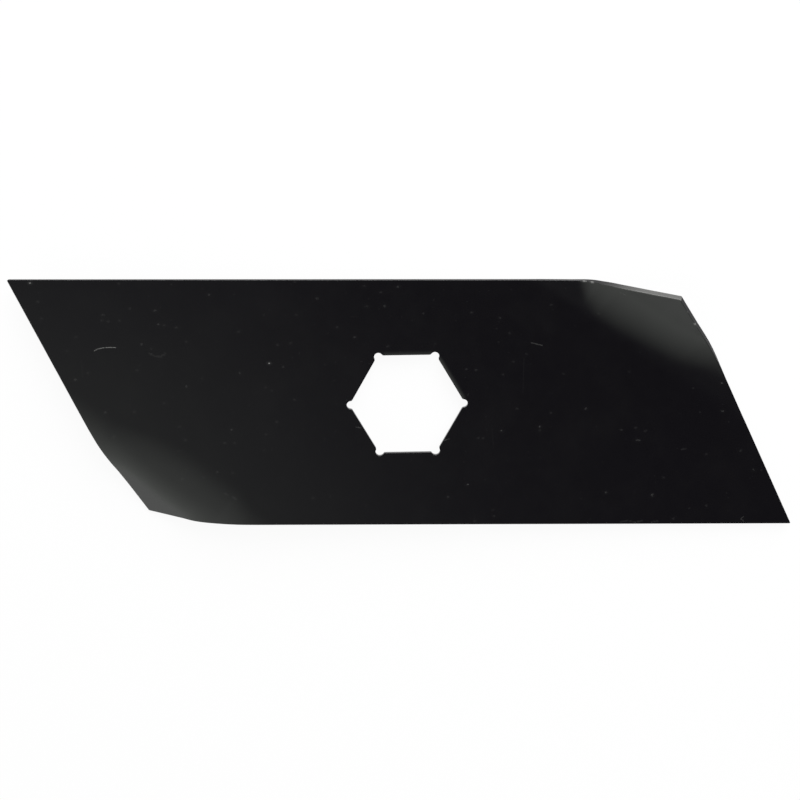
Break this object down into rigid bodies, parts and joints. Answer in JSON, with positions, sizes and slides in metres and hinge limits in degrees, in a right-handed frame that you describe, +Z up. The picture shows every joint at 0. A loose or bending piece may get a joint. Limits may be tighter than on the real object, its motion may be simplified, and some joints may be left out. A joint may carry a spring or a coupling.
{
  "type": "scarifier blade",
  "caption": "Flat parallelogram steel blade with a hexagonal shaft hole and two opposite corners bent in opposite directions, for raking moss and thatch out of turf.",
  "frame": {"origin": "middle of the hexagonal shaft hole at half the sheet's thickness, which is the blade's centre of mass", "axes": "+X along the long edges towards the raised corner's end, +Y across the strip, +Z up from the surface that the blade lies on; the sheet leans about 4.3 degrees from level as it lies"},
  "size_m": [0.1894, 0.061, 0.0098],
  "materials": {
    "black_paint": "glossy black paint over steel, worn at the edges"
  },
  "bodies": {
    "root": {"blade": "black_paint"}
  },
  "joints": []
}
